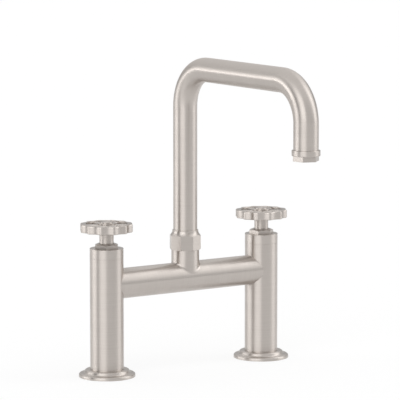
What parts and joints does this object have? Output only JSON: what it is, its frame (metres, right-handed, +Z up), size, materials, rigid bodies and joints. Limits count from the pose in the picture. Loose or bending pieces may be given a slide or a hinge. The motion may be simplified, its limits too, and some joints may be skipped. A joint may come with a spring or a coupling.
{
  "type": "bridge kitchen faucet",
  "caption": "Deck-mounted bridge kitchen faucet with a swivelling square-shouldered spout, scalloped handwheels and a plain brushed nickel finish.",
  "frame": {"origin": "on the deck, midway between the two post axes", "axes": "+X from the left post to the right post, -Y towards the user and the spout's outlet, +Z up"},
  "size_m": [0.2644, 0.27, 0.3437],
  "materials": {
    "brushed_nickel": "brushed nickel plate on brass",
    "bare_brass": "machined brass",
    "stainless_steel": "plain stainless steel",
    "valve_ceramic": "lapped alumina ceramic",
    "white_nylon": "moulded nylon",
    "rubber": "black sealing rubber"
  },
  "bodies": {
    "faucet_body": {"left_post": "brushed_nickel", "left_post_cap": "brushed_nickel", "left_base_flange": "brushed_nickel", "left_base_gasket": "rubber", "left_bonnet_nut": "brushed_nickel", "left_cartridge_body": "bare_brass", "left_cartridge_oring": "rubber", "left_seat_seal": "rubber", "left_fixed_disc": "valve_ceramic", "right_post": "brushed_nickel", "right_post_cap": "brushed_nickel", "right_base_flange": "brushed_nickel", "right_base_gasket": "rubber", "right_bonnet_nut": "brushed_nickel", "right_cartridge_body": "bare_brass", "right_cartridge_oring": "rubber", "right_seat_seal": "rubber", "right_fixed_disc": "valve_ceramic", "bridge_tube": "brushed_nickel", "spout_socket": "brushed_nickel", "spout_nut": "brushed_nickel", "spout_thrust_washer": "white_nylon", "spout_bearing_ring": "white_nylon"},
    "spout": {"spout_tube": "brushed_nickel", "spout_ferrule": "bare_brass", "spout_orings": "rubber", "outlet_nipple": "bare_brass", "aerator_housing": "brushed_nickel", "aerator_core": "white_nylon", "aerator_screen": "stainless_steel", "aerator_washer": "rubber"},
    "left_handle": {"left_handwheel": "brushed_nickel", "left_handle_hub": "brushed_nickel", "left_index_cap": "brushed_nickel", "left_handle_screw": "stainless_steel", "left_valve_stem": "bare_brass", "left_stem_orings": "rubber", "left_stem_clip": "stainless_steel", "left_moving_disc": "valve_ceramic"},
    "right_handle": {"right_handwheel": "brushed_nickel", "right_handle_hub": "brushed_nickel", "right_index_cap": "brushed_nickel", "right_handle_screw": "stainless_steel", "right_valve_stem": "bare_brass", "right_stem_orings": "rubber", "right_stem_clip": "stainless_steel", "right_moving_disc": "valve_ceramic"}
  },
  "joints": [
    {"name": "spout_swivel", "type": "hinge", "parent": "faucet_body", "child": "spout", "pos_m": [0, 0, 0.1442], "axis": [0, 0, 1], "continuous": true},
    {"name": "left_handle_turn", "type": "hinge", "parent": "faucet_body", "child": "left_handle", "pos_m": [-0.1016, 0, 0.1415], "axis": [0, 0, 1], "range_deg": [0, 90]},
    {"name": "right_handle_turn", "type": "hinge", "parent": "faucet_body", "child": "right_handle", "pos_m": [0.1016, 0, 0.1415], "axis": [0, 0, 1], "range_deg": [-90, 0]}
  ]
}
